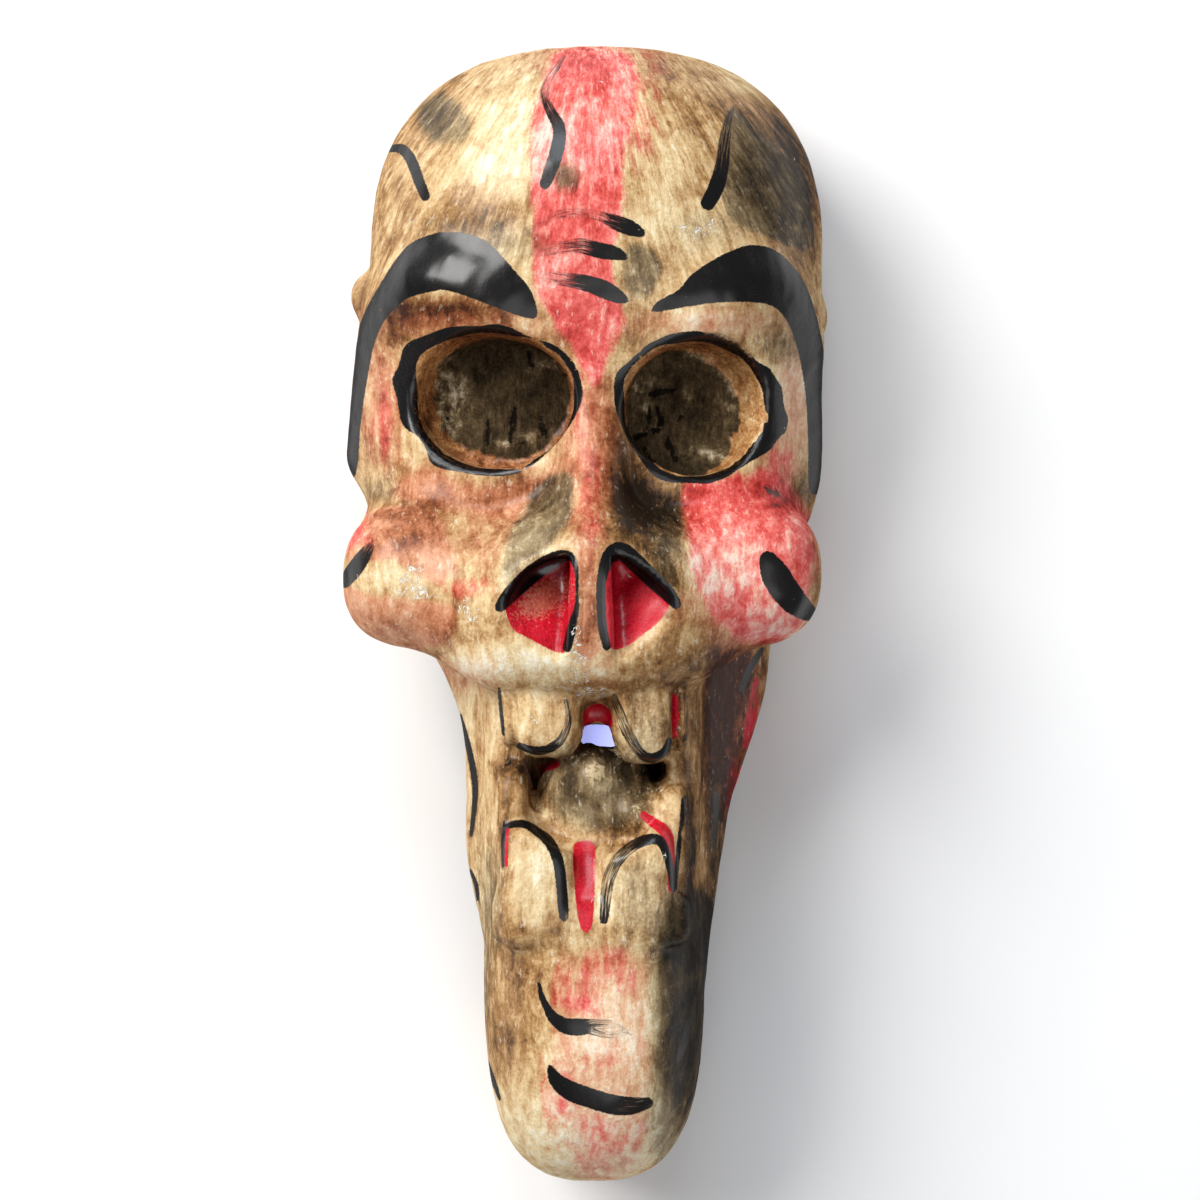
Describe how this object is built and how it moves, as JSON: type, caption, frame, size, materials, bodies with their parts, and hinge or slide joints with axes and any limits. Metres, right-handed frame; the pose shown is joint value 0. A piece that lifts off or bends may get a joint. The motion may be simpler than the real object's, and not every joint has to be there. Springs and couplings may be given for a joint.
{
  "type": "wooden skull mask",
  "caption": "Carved and painted wooden skull mask with blind eye sockets, nose pockets, open toothed mouth and long jaw, hollowed from the back, lying on its flat back rim.",
  "frame": {"origin": "centre of the bounding box on the flat back rim that the mask lies on", "axes": "+Z out of the face, away from the rest plane; +Y from the chin to the crown; +X to the right of someone looking at the face"},
  "size_m": [0.1724, 0.4024, 0.126],
  "materials": {
    "painted_wood": "worn satin paint and varnish over gesso on carved wood"
  },
  "bodies": {
    "root": {"skull_mask": "painted_wood"}
  },
  "joints": []
}
